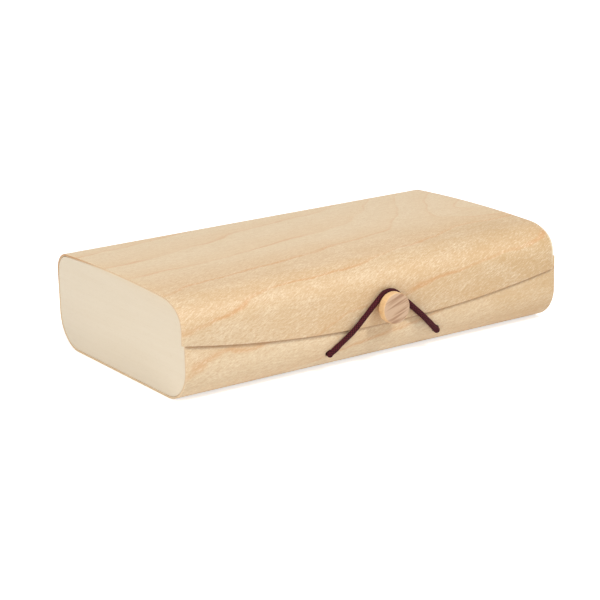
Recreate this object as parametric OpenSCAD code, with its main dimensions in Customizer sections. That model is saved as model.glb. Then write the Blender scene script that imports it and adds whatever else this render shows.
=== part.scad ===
// Brush box of bent wooden sheet with a hinged lid, held shut by an elastic loop on a button.
// Millimetres. X runs along the box, -Y is its front, +Z is up.
// The origin is the middle of the face that the box stands on.

/* [Box] */
// Length of the box, over both end panels
box_l = 200; // [150:1:300]
// Depth of the box, over its front and back walls
box_w = 112; // [90:1:180]
// Height of the closed box at the top of its back wall
back_h = 44.5; // [42:0.5:80]
// Thickness of each end panel
panel_t = 6; // [3:0.5:12]

/* [Bent sheet] */
// Thickness of the sheet that is bent into walls, floor and lid
sheet_t = 0.9; // [0.6:0.1:1.4]
// Outer radius of the two lower corners
low_r = 16; // [14:0.5:17]
// Outer radius of the bend at the top of the back wall, which works as the hinge
hinge_r = 9.5; // [6:0.5:14]
// Height of the front wall, which the flap covers
front_wall_h = 31.5; // [24:0.5:33]

/* [Lid] */
// How far the top of the lid turns from back to front, which gives it its crown, in degrees
lid_crown_turn = 5.5; // [2:0.5:8]
// How much the top of the lid rises towards the front, in degrees
lid_rise_angle = 0.6; // [0:0.1:1.5]
// Outer radius of the soft first part of the bend at the front of the lid
nose_soft_r = 25; // [16:1:34]
// How far the soft first part of that bend turns, in degrees
nose_soft_turn = 26; // [10:1:40]
// Outer radius of the rest of that bend
nose_tight_r = 10; // [6:0.5:13]
// Height of the flap's lower edge at its middle
flap_z = 17.7; // [17:0.1:19]
// How much higher the flap's lower edge is at its ends
flap_rise = 8.8; // [2:0.1:10]
// Radius of the flap's two lower corners
flap_corner_r = 2.5; // [2:0.5:8]
// How far the front of the lid sits to the left of the box
lid_skew = 2; // [0:0.5:4]
// How far the flap's lowest point, the button and the cord sit to the right of the middle
closure_x = 2; // [-10:0.1:10]

/* [Button] */
// Diameter of the button's head
head_d = 14; // [12:0.5:18]
// Thickness of the button's head
head_t = 4.3; // [2.5:0.1:6]
// Radius worn onto the rims of the head
head_edge_r = 0.5; // [0.2:0.1:1]
// Diameter of the neck that the cord goes round
neck_d = 9.8; // [6:0.2:12]
// Height of the button's axis
button_z = 25.9; // [25:0.1:28]
// Diameter of the screw's shank
screw_d = 2; // [1.5:0.1:2.5]
// Diameter of the screw's countersunk head
screw_head_d = 3.6; // [3.2:0.1:4.5]
// Length of the screw's shank past its head
screw_l = 5; // [4:0.5:6]

/* [Elastic cord] */
// Diameter of the cord
cord_d = 2.8; // [2:0.1:3.2]
// Distance between the two holes that the cord goes through
hole_spread = 58.5; // [40:0.5:80]
// How far below level the holes point out of the lower front corner, in degrees
hole_dip = 27; // [20:1:35]
// Diameter of the knots inside the front wall
knot_d = 7.6; // [6:0.1:8.5]
// Length of the tail that each knot leaves
tail_l = 7; // [4:0.5:12]

/* [Fits] */
// Gap between the lid and what it closes on
lid_gap = 0.3; // [0.2:0.05:0.6]
// Glue between the sheet and the end panels
glue_t = 0.1; // [0.05:0.05:0.3]
// Gap round the cord
cord_gap = 0.3; // [0.2:0.05:0.5]
// Radial clearance of the screw
screw_fit = 0.05; // [0.02:0.01:0.1]

/* [Hidden] */
$fn = 96;
// Largest steps along a bend, in degrees and in millimetres
bend_step = 5;
bend_reach = 8;
// Sides of the cord, and the degrees that each of its rings turns
cord_sides = 10;
cord_step = 14;
eps = 0.01;
// Straight rim of the screw's head, and the sheet that is left in front of its cone
screw_rim_t = 0.1;
screw_skin_t = 0.2;

// The flap lies over the front wall, one gap and one thickness proud of it.
flap_y = -(box_w / 2 + lid_gap + sheet_t);
// The lid leaves the hinge rising by this angle, and meets its front bend falling by this one.
rise_back = lid_rise_angle + lid_crown_turn / 2;
fall_front = lid_crown_turn / 2 - lid_rise_angle;
hinge_turn = 90 - rise_back;
nose_tight_turn = 90 - fall_front - nose_soft_turn;

// The sheet is one blank. Each entry is [flat, outer radius, turn]: a flat stretch, and the bend
// at its end. It starts at the top of the front wall and goes down and round to the flap's edge.
front_wall = [front_wall_h - low_r, low_r, 90];
floor_run = [box_w - 2 * low_r, low_r, 90];
back_wall = [back_h - low_r - hinge_r, 0, 0];
hinge_bend = [0, hinge_r, hinge_turn];

// Starts of the three pieces of the blank, as [y, z] on its outer face, and the lid's way there
wrap_start = [-box_w / 2, front_wall_h];
hinge_start = [box_w / 2, back_h - hinge_r];
hinge_centre = [box_w / 2 - hinge_r, back_h - hinge_r];
lid_start = hinge_centre + hinge_r * [sin(rise_back), cos(rise_back)];
lid_way = 180 - rise_back;

// Depth and drop of the two-part bend at the front of the lid, set in from its outer face
function nose_depth(inset) =
    (nose_soft_r - inset) * (sin(fall_front + nose_soft_turn) - sin(fall_front))
    + (nose_tight_r - inset) * (1 - sin(fall_front + nose_soft_turn));
function nose_drop(inset) =
    (nose_soft_r - inset) * (cos(fall_front) - cos(fall_front + nose_soft_turn))
    + (nose_tight_r - inset) * cos(fall_front + nose_soft_turn);
// Radius of a crowned top that reaches from the hinge to a front bend ending at front_y
function crown_radius(inset, front_y) =
    (lid_start.x - inset * sin(rise_back) - nose_depth(inset) - front_y)
    / (sin(rise_back) + sin(fall_front));

lid_crown_r = crown_radius(0, flap_y);
lid_top = [0, lid_crown_r, lid_crown_turn];
lid_soft_nose = [0, nose_soft_r, nose_soft_turn];
lid_tight_nose = [0, nose_tight_r, nose_tight_turn];
nose_end_z = lid_start.y + lid_crown_r * (cos(fall_front) - cos(rise_back)) - nose_drop(0);
flap = [nose_end_z - flap_z, 0, 0];
top_z = lid_start.y + lid_crown_r * (1 - cos(rise_back));

// The lower edge of the flap is an arc of this radius, lowest at the closure.
flap_r = (pow(box_l / 2, 2) + pow(flap_rise, 2)) / (2 * flap_rise);

// The bend opens in two halves that turn alike, each about the line where its middle layer keeps
// its length: the lower half against the wall, and the lid against the lower half.
half_turn = hinge_turn / 2;
fold_arm = (hinge_r - sheet_t / 2) * (PI * half_turn / 360) / sin(half_turn / 2);
lower_fold = hinge_centre + fold_arm * heading(half_turn / 2);
upper_fold = hinge_centre + fold_arm * heading(half_turn * 3 / 2);
echo(str("The bend at the back folds about these lines, as y and z: ", lower_fold, upper_fold));

// The neck leaves room for the cord between the flap and the head.
neck_l = cord_d + 2 * cord_gap;
neck_r = neck_d / 2;
cord_r = cord_d / 2;
// The cord lies in this plane where it goes round the neck, on an arc of this radius.
cord_y = flap_y - cord_gap - cord_r;
loop_r = neck_r + cord_gap + cord_r;

// Each hole's mouth on the outside of the lower front corner, and the way it points
hole_out = [0, -cos(hole_dip), -sin(hole_dip)];
mouth = [hole_spread / 2, -box_w / 2 + low_r, low_r] + low_r * hole_out;
// The cord turns up just outside the mouth. From here a leg runs straight to the neck.
turn_point = mouth + (cord_r + cord_gap) * hole_out;
turn_r = 2;
// Seen from the front, a leg meets the neck's arc at this angle above level.
leg_x = turn_point.x;
leg_drop = button_z - turn_point.z;
meet = acos(loop_r / norm([leg_x, leg_drop])) - atan2(leg_drop, leg_x);
meet_point = [loop_r * cos(meet), cord_y, button_z + loop_r * sin(meet)];
// A leg reaches the cord's plane just below the flap's edge.
lift_z = flap_z - cord_r;
lift_share = (lift_z - turn_point.z) / (meet_point.z - turn_point.z);
lift_point = [leg_x + (meet_point.x - leg_x) * lift_share, cord_y, lift_z];
lift_r = 12;
// The cord's end lies in the hole, one gap short of the knot.
cord_end = mouth - sheet_t * hole_out;
knot_centre = mouth - (sheet_t + cord_gap + knot_d / 2) * hole_out;

// Unit vector at an angle, and a vector made one long
function heading(a) = [cos(a), sin(a)];
function unit(v) = v / norm(v);
// Sides mirrored in the middle plane of the closure
function flip(p) = [-p.x, p.y, p.z];

// Points along a run of the blank, set in from its outer face, starting at a point and a heading.
// Every bend turns to the left, so the inside of the box is always on the left.
function run_points(run, at, way, inset, i = 0) =
    i == len(run) ? [] :
    let (r = run[i][1] - inset, turn = run[i][2],
        bend_at = at + run[i][0] * heading(way),
        centre = bend_at + r * heading(way + 90),
        steps = max(ceil(turn / bend_step), ceil(run[i][1] * turn * PI / 180 / bend_reach)),
        bend = turn == 0 ? [bend_at] :
            [for (k = [0:steps]) centre - r * heading(way + 90 + turn * k / steps)])
    concat(i == 0 ? [at] : [], bend,
        run_points(run, bend[len(bend) - 1], way + turn, inset, i + 1));

// The same with the start given on the outer face
function face_points(run, start, way, inset) =
    run_points(run, start + inset * heading(way + 90), way, inset);

// Points on the round bend at p1 of a path from p0 to p2
function bend_points(p0, p1, p2, r) =
    let (u = unit(p0 - p1), w = unit(p2 - p1), half = acos(u * w) / 2,
        centre = p1 + unit(u + w) * r / sin(half),
        e1 = unit(p1 + u * r / tan(half) - centre),
        far = unit(p1 + w * r / tan(half) - centre),
        e2 = unit(far - (far * e1) * e1),
        turn = 180 - 2 * half, steps = ceil(turn / cord_step))
    [for (k = [0:steps]) centre + r * (cos(turn * k / steps) * e1 + sin(turn * k / steps) * e2)];

// Places round the closure are worked out about its own middle: x = 0 is the button's axis.
// The right leg from inside the hole to the neck, and the whole cord
function leg_points() = concat([cord_end],
    bend_points(cord_end, turn_point, lift_point, turn_r),
    bend_points(turn_point, lift_point, meet_point, lift_r));
function neck_points() =
    let (turn = 180 - 2 * meet, steps = ceil(turn / cord_step))
    [for (k = [0:steps]) [loop_r * cos(meet + turn * k / steps), cord_y,
        button_z + loop_r * sin(meet + turn * k / steps)]];
function cord_points() =
    let (leg = leg_points(), n = len(leg))
    concat(leg, neck_points(), [for (k = [1:n]) flip(leg[n - k])]);

// Direction of a path at each of its points
function path_ways(path) =
    let (n = len(path))
    [for (i = [0:n - 1]) unit((i < n - 1 ? unit(path[i + 1] - path[i]) : [0, 0, 0])
        + (i > 0 ? unit(path[i] - path[i - 1]) : [0, 0, 0]))];
// No stretch of the cord runs this way, so it turns each ring of the tube alike.
ring_up = unit([0, 1, -0.5]);
function ring_points(p, way, r) =
    let (a = unit(cross(way, ring_up)), b = cross(way, a))
    [for (k = [0:cord_sides - 1])
        p + r * (cos(360 * k / cord_sides) * a + sin(360 * k / cord_sides) * b)];

// A round tube along a path
module tube(path, r) {
    n = len(path);
    s = cord_sides;
    ways = path_ways(path);
    sides = [for (i = [0:n - 2]) for (k = [0:s - 1])
        let (a = i * s + k, b = i * s + (k + 1) % s) each [[a, a + s, b + s], [a, b + s, b]]];
    start_cap = [for (k = [1:s - 2]) [0, k, k + 1]];
    end_cap = [for (k = [1:s - 2]) [(n - 1) * s, (n - 1) * s + k + 1, (n - 1) * s + k]];
    polyhedron([for (i = [0:n - 1]) each ring_points(path[i], ways[i], r)],
        concat(sides, start_cap, end_cap));
}

// A profile drawn as [y, z], drawn out along X between two ends
module along_x(from, to) {
    translate([from, 0, 0]) rotate([90, 0, 90]) linear_extrude(to - from) children();
}

// A piece of the blank, cut from a run that starts on its outer face
module bent_sheet(run, start, way, from, to) {
    outer = face_points(run, start, way, 0);
    inner = face_points(run, start, way, sheet_t);
    n = len(inner);
    along_x(from, to) polygon(concat(outer, [for (k = [1:n]) inner[n - k]]));
}

// Something that lies in the line of the button, with its foot on the flap's outer face
module on_button_axis(y) {
    translate([closure_x, y, button_z]) rotate([90, 0, 0]) children();
}

// An end panel fills the bent sheet's inside: glued to its walls and floor, clear of its lid.
module end_panel(from, to) {
    inset = sheet_t + glue_t;
    under = sheet_t + lid_gap;
    front_y = -box_w / 2 + inset;
    lower = face_points([[0, low_r, 90], floor_run, back_wall], [-box_w / 2, low_r], -90, inset);
    hinge_side = face_points([hinge_bend], hinge_start, 90, under);
    top = [0, crown_radius(under, front_y) + under, lid_crown_turn];
    upper = face_points([top, lid_soft_nose, lid_tight_nose], lid_start, lid_way, under);
    along_x(from, to) polygon(concat(lower, hinge_side, upper));
}

module left_end_panel() {
    color("antiquewhite") end_panel(-box_l / 2, -box_l / 2 + panel_t);
}

module right_end_panel() {
    color("antiquewhite") end_panel(box_l / 2 - panel_t, box_l / 2);
}

// Front wall, floor and back wall, with the two holes for the cord
module wrap_sheet() {
    color("burlywood") difference() {
        bent_sheet([front_wall, floor_run, back_wall], wrap_start, -90, -box_l / 2, box_l / 2);
        for (side = [-1, 1])
            translate([closure_x + side * mouth.x, mouth.y, mouth.z]) rotate([90 + hole_dip, 0, 0])
                cylinder(h = 3 * sheet_t, r = cord_r + cord_gap, center = true);
    }
}

// The stretch of the blank that bends when the lid opens
module hinge_strip() {
    color("peru") bent_sheet([hinge_bend], hinge_start, 90, -box_l / 2, box_l / 2);
}

// Plan of the lid: its front is drawn to the left
module lid_plan() {
    half = box_l / 2;
    back = lid_start.x;
    front = flap_y - eps;
    skew = lid_skew * (back - front) / (back - flap_y);
    polygon([[-half, back], [half, back], [half - skew, front], [-half - skew, front]]);
}

// Points round a lower corner of the flap, whose end lies this far from the flap's middle
function flap_corner(reach) =
    let (r = flap_corner_r, x = reach - r,
        z = flap_z + flap_r - sqrt(pow(flap_r - r, 2) - pow(x, 2)),
        touch = atan2(x, flap_z + flap_r - z), steps = ceil((90 - touch) / bend_step))
    [for (k = [0:steps])
        let (a = touch + (90 - touch) * k / steps) [x + r * sin(a), z - r * cos(a)]];

// What is cut away under the flap's curved edge, drawn as [x, z] about the flap's middle
module under_flap() {
    right = flap_corner(box_l / 2 - lid_skew - closure_x);
    left_turned = flap_corner(box_l / 2 + lid_skew + closure_x);
    n = len(left_turned);
    left = [for (k = [1:n]) [-left_turned[n - k].x, left_turned[n - k].y]];
    from = asin(left[n - 1].x / flap_r);
    to = asin(right[0].x / flap_r);
    steps = ceil((right[0].x - left[n - 1].x) / bend_reach);
    arc = [for (k = [1:steps - 1])
        let (a = from + (to - from) * k / steps)
        [flap_r * sin(a), flap_z + flap_r * (1 - cos(a))]];
    below = flap_z - eps;
    past = flap_corner_r;
    translate([closure_x, 0]) polygon(concat(
        [[left[0].x - past, below], [left[0].x - past, left[0].y]], left, arc, right,
        [[right[len(right) - 1].x + past, right[len(right) - 1].y],
            [right[len(right) - 1].x + past, below]]));
}

// Top of the lid, its soft front bend and the flap
module lid_sheet() {
    reach = box_l / 2 + lid_skew + eps;
    color("burlywood") difference() {
        intersection() {
            bent_sheet([lid_top, lid_soft_nose, lid_tight_nose, flap], lid_start, lid_way,
                -reach, reach);
            linear_extrude(top_z + eps) lid_plan();
        }
        translate([0, flap_y + 2 * sheet_t, 0]) rotate([90, 0, 0])
            linear_extrude(3 * sheet_t) under_flap();
        on_button_axis(flap_y + sheet_t) screw_shape(screw_fit);
    }
}

// The screw from the inner face of the flap outwards, grown by a clearance
module screw_shape(grow) {
    head_r = screw_head_d / 2 + grow;
    shank_r = screw_d / 2 + grow;
    // Just past the flap's inner face, so that a clearance cut opens it
    foot = grow > 0 ? -eps : 0;
    tip = sheet_t + screw_l + grow;
    rotate_extrude() polygon([[0, foot], [head_r, foot], [head_r, screw_rim_t],
        [shank_r, sheet_t - screw_skin_t], [shank_r, tip], [0, tip]]);
}

// Turned in one piece: a neck on the flap, and a flat head in front of it
module button() {
    head_r = head_d / 2;
    e = head_edge_r;
    top = neck_l + head_t;
    color("tan") difference() {
        on_button_axis(flap_y) rotate_extrude() {
            square([neck_r, top]);
            translate([0, neck_l]) square([head_r - e, head_t]);
            translate([0, neck_l + e]) square([head_r, head_t - 2 * e]);
            translate([head_r - e, neck_l + e]) circle(r = e, $fn = 32);
            translate([head_r - e, top - e]) circle(r = e, $fn = 32);
        }
        on_button_axis(flap_y + sheet_t) screw_shape(screw_fit);
    }
}

module button_screw() {
    color("silver") on_button_axis(flap_y + sheet_t) screw_shape(0);
}

// From inside one hole, round the neck of the button, and into the other hole
module elastic_cord() {
    color("maroon") translate([closure_x, 0, 0]) tube(cord_points(), cord_r);
}

// A knot draws up against the inside of the corner, and leaves a short tail along the wall.
module knot(side) {
    color("maroon") translate([closure_x + side * knot_centre.x, knot_centre.y, knot_centre.z]) {
        sphere(d = knot_d);
        rotate([0, -side * 90, 0]) cylinder(h = knot_d / 2 + tail_l, d = cord_d);
    }
}

module left_knot() {
    knot(-1);
}

module right_knot() {
    knot(1);
}

left_end_panel();
right_end_panel();
wrap_sheet();
hinge_strip();
lid_sheet();
button();
button_screw();
elastic_cord();
left_knot();
right_knot();
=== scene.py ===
# %% [markdown]
# # A brush box of bent veneer
#
# This is a long, low wooden box. One thin sheet of wood is bent round two end panels, and the same
# sheet flexes at the back to be its own hinge. A turned button and an elastic loop hold it shut.
#
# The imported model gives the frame: where every piece is, and which body carries it. Its solids
# could be shown as they are, but they have sharp rims and no finish. So each piece is made again
# here, in the same place, and stands for its solid.

# %% Load the frame
import math

import bpy
import numpy as np
from mathutils import Matrix, Vector


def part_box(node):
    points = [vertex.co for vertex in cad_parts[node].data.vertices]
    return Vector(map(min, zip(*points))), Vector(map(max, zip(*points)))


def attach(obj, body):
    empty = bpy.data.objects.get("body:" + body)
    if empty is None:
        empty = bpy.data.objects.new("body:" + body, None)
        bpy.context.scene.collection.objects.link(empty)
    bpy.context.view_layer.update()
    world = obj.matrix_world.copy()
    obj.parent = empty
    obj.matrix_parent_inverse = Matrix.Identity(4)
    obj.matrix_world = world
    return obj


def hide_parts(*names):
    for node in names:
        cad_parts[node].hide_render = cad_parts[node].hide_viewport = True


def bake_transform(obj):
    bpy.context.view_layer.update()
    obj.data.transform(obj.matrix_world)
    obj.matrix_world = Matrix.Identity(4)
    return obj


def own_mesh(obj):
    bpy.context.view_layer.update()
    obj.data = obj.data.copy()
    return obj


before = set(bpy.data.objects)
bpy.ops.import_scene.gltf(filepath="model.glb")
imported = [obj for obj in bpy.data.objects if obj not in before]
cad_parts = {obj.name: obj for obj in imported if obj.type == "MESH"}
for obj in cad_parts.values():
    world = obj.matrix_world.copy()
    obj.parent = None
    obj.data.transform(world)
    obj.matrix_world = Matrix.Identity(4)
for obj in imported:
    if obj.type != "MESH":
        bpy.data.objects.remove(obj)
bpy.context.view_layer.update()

# %% [markdown]
# The sizes come in two ways. What can be read from the frame is read from it, such as how long the
# box is. Radii, turns and thicknesses can't be read from a box round a piece, so they are written
# once, in millimetres as a maker would measure them, and turned into metres.

# %% Sizes
mm = 0.001
_, walls_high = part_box("wrap_sheet")
lid_low, lid_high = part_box("lid_sheet")
button_low, button_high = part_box("button")
panel_low, panel_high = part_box("left_end_panel")

sheet_thickness = 0.9 * mm
lower_radius = 16 * mm
hinge_radius = 9.5 * mm
soft_nose_radius = 25 * mm
tight_nose_radius = 10 * mm
front_wall_top = 31.5 * mm
lid_gap = 0.3 * mm
glue = 0.1 * mm
flap_skew = 2 * mm
flap_rise = 8.8 * mm
flap_corner = 2.5 * mm

half_length = walls_high.x
wall_y = walls_high.y
hinge_z = walls_high.z
flap_y = lid_low.y
closure_x = (button_low.x + button_high.x) / 2
button_z = (button_low.z + button_high.z) / 2
print("Length:", round(2 * half_length / mm, 1), "mm, button at", round(closure_x / mm, 2), "mm")

# %% [markdown]
# The sheet is one blank. Its profile could be typed in as points, but one changed radius would move
# them all. So it is written the way it is bent: a list of stretches, each a flat length and then a
# bend with its outer radius and its turn. Every bend turns the same way. A walk along the list
# gives each stretch a place. Later it also tells how far along the flat blank any point of the bent
# sheet lies, which keeps the grain running round the corners.

# %% Walk along a profile
def heading(angle):
    """A step of one along an angle in the [y, z] plane."""
    return np.array([math.cos(angle), math.sin(angle)])


def walk(stretches, start, angle, distance=0.0):
    """Gives each stretch of a profile its place: where its flat starts, and its bend's centre."""
    placed = []
    at = np.array(start, float)
    for flat, radius, turn in stretches:
        bend_at = at + flat * heading(angle)
        centre = bend_at + radius * heading(angle + math.pi / 2)
        placed.append({"at": at, "angle": angle, "flat": flat, "centre": centre,
                       "radius": radius, "turn": turn, "distance": distance})
        distance += flat + radius * turn
        at = centre - radius * heading(angle + math.pi / 2 + turn)
        angle += turn
    return placed, at, angle, distance


quarter = math.radians(90)
crown = math.radians(5.5)
rise = math.radians(0.6)
rise_at_hinge = rise + crown / 2
fall_at_nose = crown / 2 - rise
hinge_turn = quarter - rise_at_hinge
soft_turn = math.radians(26)
tight_turn = quarter - fall_at_nose - soft_turn

floor_length = 2 * (wall_y - lower_radius)
wall_profile = [(front_wall_top - lower_radius, lower_radius, quarter),
                (floor_length, lower_radius, quarter),
                (hinge_z - lower_radius, 0, 0)]
walls, hinge_at, _, hinge_distance = walk(wall_profile, (-wall_y, front_wall_top), -quarter)
print("The blank is", round(hinge_distance / mm), "mm long up to its hinge")

# %% [markdown]
# The lid goes on from the back wall: two halves of the hinge's bend, the crown, the nose and the
# flap. The crown is a very large arc. Its radius could be typed in, but then the flap would hang
# wherever the sum of all the numbers puts it. It is solved here from where the arc starts, at the
# hinge, and from where the flap has to hang.

# %% The lid's profile
def nose_reach(depth):
    """How far the nose goes forwards, at a depth below the sheet's outer face."""
    soft_end = math.sin(fall_at_nose + soft_turn)
    return ((soft_nose_radius - depth) * (soft_end - math.sin(fall_at_nose))
            + (tight_nose_radius - depth) * (1 - soft_end))


crown_share = math.sin(rise_at_hinge) + math.sin(fall_at_nose)
hinge_bend = [(0, hinge_radius, hinge_turn / 2)]
lower_hinge, hinge_middle, middle_angle, middle_distance = walk(
    hinge_bend, hinge_at, quarter, hinge_distance)
upper_hinge, lid_at, lid_angle, lid_distance = walk(
    hinge_bend, hinge_middle, middle_angle, middle_distance)
crown_radius = (lid_at[0] - nose_reach(0) - flap_y) / crown_share
nose_profile = [(0, crown_radius, crown),
                (0, soft_nose_radius, soft_turn),
                (0, tight_nose_radius, tight_turn)]
nose, nose_end, nose_angle, nose_distance = walk(nose_profile, lid_at, lid_angle, lid_distance)
flap_length = nose_end[1] - lid_low.z
flap, _, _, flap_distance = walk([(flap_length, 0, 0)], nose_end, nose_angle, nose_distance)
blank = walls + lower_hinge + upper_hinge + nose + flap
print("Crown radius:", round(crown_radius / mm), "mm")
print("Whole blank:", round(flap_distance / mm), "mm")

# %% [markdown]
# ## Working in edit mode
#
# A mesh could be typed in as lists of points and faces, but then every change means new lists. Most
# pieces here start as a primitive and are shaped with the operators that a modeller uses by hand.
# An operator acts on whatever is selected, so each step first selects what it needs, by its place,
# and nothing else.

# %% Helpers for edit mode
print("Loading left", len(bpy.context.selected_objects), "objects selected")


def deselect_all():
    """Leaves every object deselected, because loading leaves some selected."""
    for thing in bpy.context.selected_objects:
        thing.select_set(False)


def work_on(piece):
    """Makes one object the only selected and active one."""
    deselect_all()
    piece.select_set(True)
    bpy.context.view_layer.objects.active = piece


def edit(piece):
    """Enters edit mode on a piece."""
    work_on(piece)
    bpy.ops.object.mode_set(mode="EDIT")


def leave():
    """Back to object mode, where a mesh can be read."""
    bpy.ops.object.mode_set(mode="OBJECT")


def select_nothing(mesh):
    """In object mode, unselects every vertex, edge and face."""
    for parts in (mesh.vertices, mesh.edges, mesh.polygons):
        parts.foreach_set("select", [False] * len(parts))


def select_points(piece, chosen):
    """In edit mode, selects the vertices whose place passes a test, and what they bound."""
    leave()
    mesh = piece.data
    select_nothing(mesh)
    picked = [bool(chosen(point.co)) for point in mesh.vertices]
    mesh.vertices.foreach_set("select", picked)
    bpy.ops.object.mode_set(mode="EDIT")
    bpy.ops.mesh.select_mode(type="VERT")
    bpy.ops.mesh.select_mode(type="EDGE")
    return sum(picked)


def apply_modifier(piece, kind, **settings):
    """Adds a modifier, sets it, and applies it."""
    work_on(piece)
    modifier = piece.modifiers.new(kind.lower(), kind)
    for key, value in settings.items():
        setattr(modifier, key, value)
    bpy.ops.object.modifier_apply(modifier=modifier.name)


def settle(piece, smooth_angle=35):
    """Puts a finished object's place into its mesh, and shades it smooth up to an angle."""
    work_on(piece)
    bpy.ops.object.transform_apply(location=True, rotation=True, scale=True)
    bpy.ops.object.shade_smooth_by_angle(angle=math.radians(smooth_angle))


# %% [markdown]
# A bent sheet is made as it is on the bench: one edge is drawn out flat, spun round a corner, drawn
# out again, and so on. A curve with an extrusion would give the same surface, but spinning leaves
# even faces round each bend, and they take a bevel and a boolean well. The surface made this way is
# the outer face of the sheet. Solidify then gives it the thickness of the veneer, on the inside.

# %% Draw a profile out along the box
columns = 50
bend_step = math.radians(2.6)
bend_reach = 5 * mm
one_point = 1e-6


def steps_round(stretch):
    """How many steps a bend takes: each is small in angle, and on a large arc in length too."""
    return max(math.ceil(stretch["turn"] / bend_step),
               math.ceil(stretch["radius"] * stretch["turn"] / bend_reach))


def end_of(stretch):
    """Where a placed stretch ends."""
    if not stretch["turn"]:
        return stretch["at"] + stretch["flat"] * heading(stretch["angle"])
    spoke = heading(stretch["angle"] + stretch["turn"] + math.pi / 2)
    return stretch["centre"] - stretch["radius"] * spoke


def extrude_by(step):
    """In edit mode, draws the selected edges out by a step in the [y, z] plane."""
    bpy.ops.mesh.extrude_region_move(TRANSFORM_OT_translate={"value": (0, *step)})


def draw_out(name, placed, left, right, rows_of_flat=4, across=columns):
    """A surface along X that follows a profile, from a grid squeezed into a row of edges."""
    deselect_all()
    bpy.ops.mesh.primitive_grid_add(x_subdivisions=across, y_subdivisions=1, size=1)
    piece = bpy.context.active_object
    piece.name = name
    edit(piece)
    bpy.ops.mesh.select_all(action="SELECT")
    bpy.ops.transform.resize(value=(right - left, 0, 1))
    bpy.ops.mesh.remove_doubles(threshold=one_point)
    here = placed[0]["at"]
    bpy.ops.transform.translate(value=((left + right) / 2, *here))
    for stretch in placed:
        gap = stretch["at"] - here
        if np.hypot(*gap) > one_point:
            extrude_by(gap)
        if stretch["flat"]:
            for _ in range(rows_of_flat):
                extrude_by(stretch["flat"] / rows_of_flat * heading(stretch["angle"]))
        if stretch["turn"]:
            bpy.ops.mesh.spin(steps=steps_round(stretch), angle=-stretch["turn"],
                              use_auto_merge=False, center=(0, *stretch["centre"]), axis=(1, 0, 0))
        here = end_of(stretch)
    bpy.ops.mesh.select_all(action="SELECT")
    bpy.ops.mesh.remove_doubles(threshold=one_point)
    bpy.ops.mesh.normals_make_consistent(inside=False)
    leave()
    return piece


print("A lower corner takes", steps_round(walls[0]), "steps, the crown", steps_round(nose[0]))

# %% [markdown]
# The grain has to run unbroken over walls, hinge and lid, as it does on one blank. Blender could
# unwrap each piece by itself, but the three maps wouldn't meet. So each point is asked where it
# lies on the flat blank: each stretch in turn tells how far off the point is, and the nearest one
# gives the distance along the blank and the depth below its outer face. The distance becomes a UV
# map, and the depth tells the outer rim of an edge from its inner rim.

# %% From the bent sheet back to the flat blank
def on_blank(y, z):
    """Distance along the blank and depth below its outer face for a place in the [y, z] plane."""
    place = np.array([y, z])
    best = None
    for stretch in blank:
        along_way = heading(stretch["angle"])
        inwards = heading(stretch["angle"] + math.pi / 2)
        offset = place - stretch["at"]
        run = min(max(offset @ along_way, 0), stretch["flat"])
        depth = offset @ inwards
        miss = abs(offset @ along_way - run) + abs(depth - sheet_thickness / 2)
        if stretch["flat"] and (best is None or miss < best[0]):
            best = (miss, stretch["distance"] + run, depth)
        if stretch["turn"]:
            spoke = place - stretch["centre"]
            depth = stretch["radius"] - math.hypot(*spoke)
            angle = math.atan2(spoke[1], spoke[0]) - (stretch["angle"] - math.pi / 2)
            angle = (angle + math.pi) % (2 * math.pi) - math.pi
            turned = min(max(angle, 0), stretch["turn"])
            miss = abs(angle - turned) * stretch["radius"] + abs(depth - sheet_thickness / 2)
            if best is None or miss < best[0]:
                run = stretch["flat"] + turned * stretch["radius"]
                best = (miss, stretch["distance"] + run, depth)
    return best[1], best[2]


def unroll(piece):
    """Gives a piece of the sheet a UV map in metres on the flat blank."""
    mesh = piece.data
    for layer in list(mesh.uv_layers):
        mesh.uv_layers.remove(layer)
    layer = mesh.uv_layers.new(name="blank")
    places = [on_blank(point.co.y, point.co.z)[0] for point in mesh.vertices]
    for loop in mesh.loops:
        point = mesh.vertices[loop.vertex_index]
        layer.data[loop.index].uv = (point.co.x, places[loop.vertex_index])


for name, at in (("front wall", (-wall_y, 25 * mm)), ("floor", (0, 0)), ("crown", (0, lid_high.z))):
    print(name, "lies", round(on_blank(*at)[0] / mm, 1), "mm along the blank")

# %% [markdown]
# A real edge always catches a thin line of light, because its sharp corner is sanded off. A Bevel
# modifier would soften every sharp edge alike, also the seams that the real sheet doesn't have. So
# edges are chosen by their two ends, and only those get a bevel.

# %% Bevel chosen edges
def select_edges(piece, chosen):
    """In edit mode, selects the edges whose two ends pass a test."""
    leave()
    mesh = piece.data
    select_nothing(mesh)
    ends = [(mesh.vertices[edge.vertices[0]].co, mesh.vertices[edge.vertices[1]].co)
            for edge in mesh.edges]
    picked = [bool(chosen(a, b)) for a, b in ends]
    mesh.edges.foreach_set("select", picked)
    bpy.ops.object.mode_set(mode="EDIT")
    bpy.ops.mesh.select_mode(type="EDGE")
    return sum(picked)


def soften(piece, chosen, width, segments=2):
    """Bevels the edges that pass a test."""
    edit(piece)
    count = select_edges(piece, chosen)
    if count:
        bpy.ops.mesh.bevel(offset=width, segments=segments, affect="EDGES")
    leave()
    return count


# %% [markdown]
# Both faces of the sheet could be drawn one by one, but Solidify keeps them apart by the same
# distance everywhere. It needs to know which side is outside. An open surface has no inside of its
# own, so its normals are checked against the middle of the box and flipped if they point in.

# %% Give a surface the thickness of the veneer
middle_of_box = Vector((0, 0, hinge_z / 2))


def face_outwards(piece):
    """Flips a surface whose faces look towards the middle of the box."""
    facing = sum(face.normal.dot(face.center - middle_of_box) * face.area
                 for face in piece.data.polygons)
    if facing < 0:
        edit(piece)
        bpy.ops.mesh.select_all(action="SELECT")
        bpy.ops.mesh.flip_normals()
        leave()


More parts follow.
